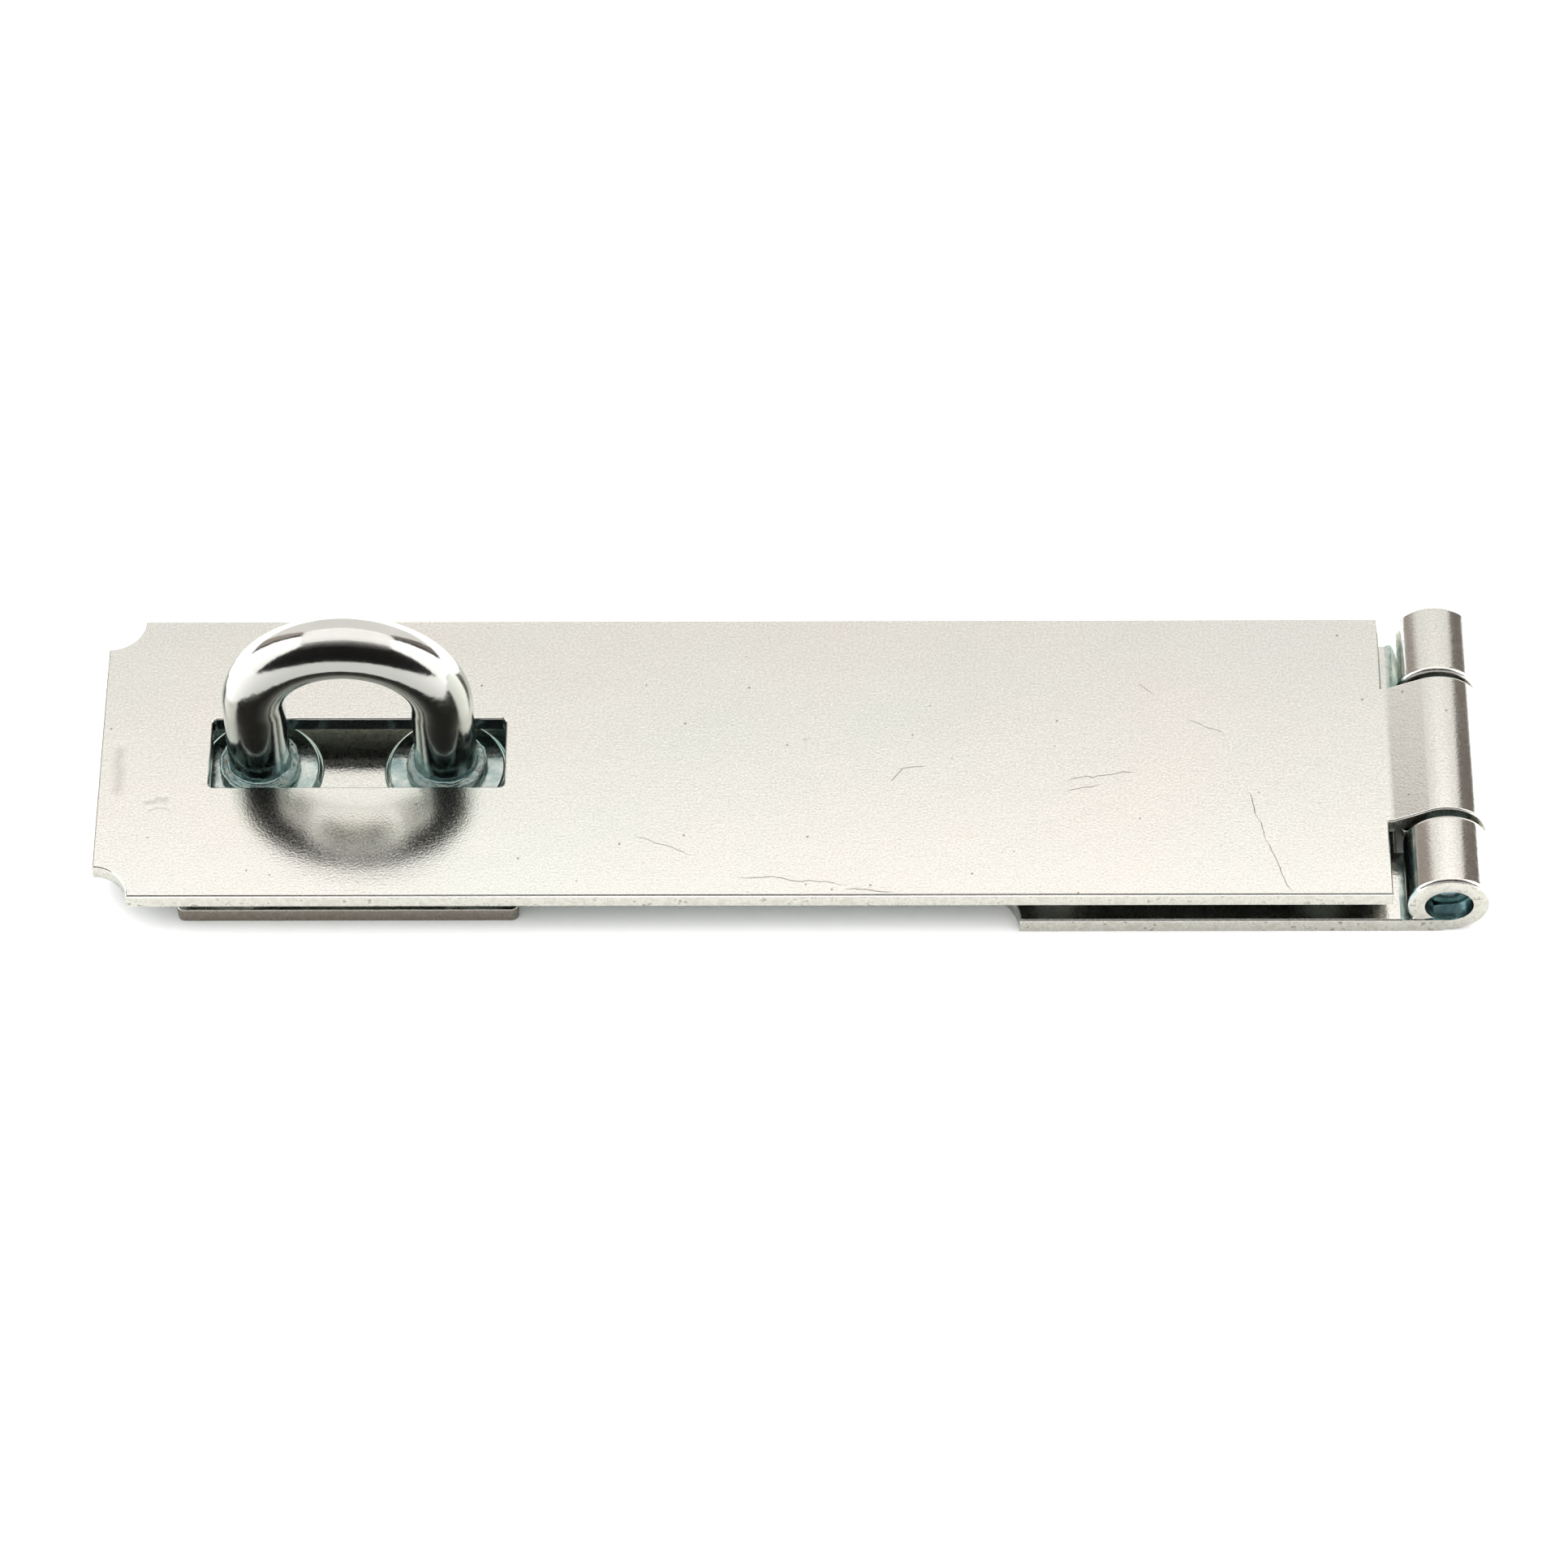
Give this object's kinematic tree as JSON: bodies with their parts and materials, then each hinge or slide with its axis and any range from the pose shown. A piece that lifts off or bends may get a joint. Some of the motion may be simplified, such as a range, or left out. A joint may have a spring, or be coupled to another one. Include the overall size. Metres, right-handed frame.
{
  "type": "hasp and staple",
  "caption": "Hinged hasp: a slotted steel strap with scooped corners on a screwed leaf, closing over a staple whose bow takes a padlock.",
  "frame": {"origin": "on the mounting plane and on the strap's centre line, half way along the overall length; the staple's plate sits 1.4 mm to +Y, so the box's own centre is 0.6 mm to +Y of it", "axes": "+Z away from the door, +X along the strap from its free end to the hinge, +Y across it"},
  "size_m": [0.155, 0.0396, 0.0288],
  "materials": {
    "zinc_plate": "satin zinc plate on pressed sheet",
    "bright_zinc": "bright zinc plate on drawn bar",
    "pin_steel": "dull bluish zinc plate"
  },
  "bodies": {
    "leaf": {"hinge_leaf": "zinc_plate", "hinge_pin": "pin_steel"},
    "strap": {"hasp_strap": "zinc_plate"},
    "staple": {"staple_plate": "zinc_plate", "staple_bow": "bright_zinc"}
  },
  "joints": [
    {"name": "strap_hinge", "type": "hinge", "parent": "leaf", "child": "strap", "pos_m": [0.0728, 0, 0.0047], "axis": [0, 1, 0], "range_deg": [0, 180]},
    {"name": "staple_apart", "type": "slide", "parent": "leaf", "child": "staple", "axis": [0, 0, -1], "range_m": [0, 0.04]}
  ]
}
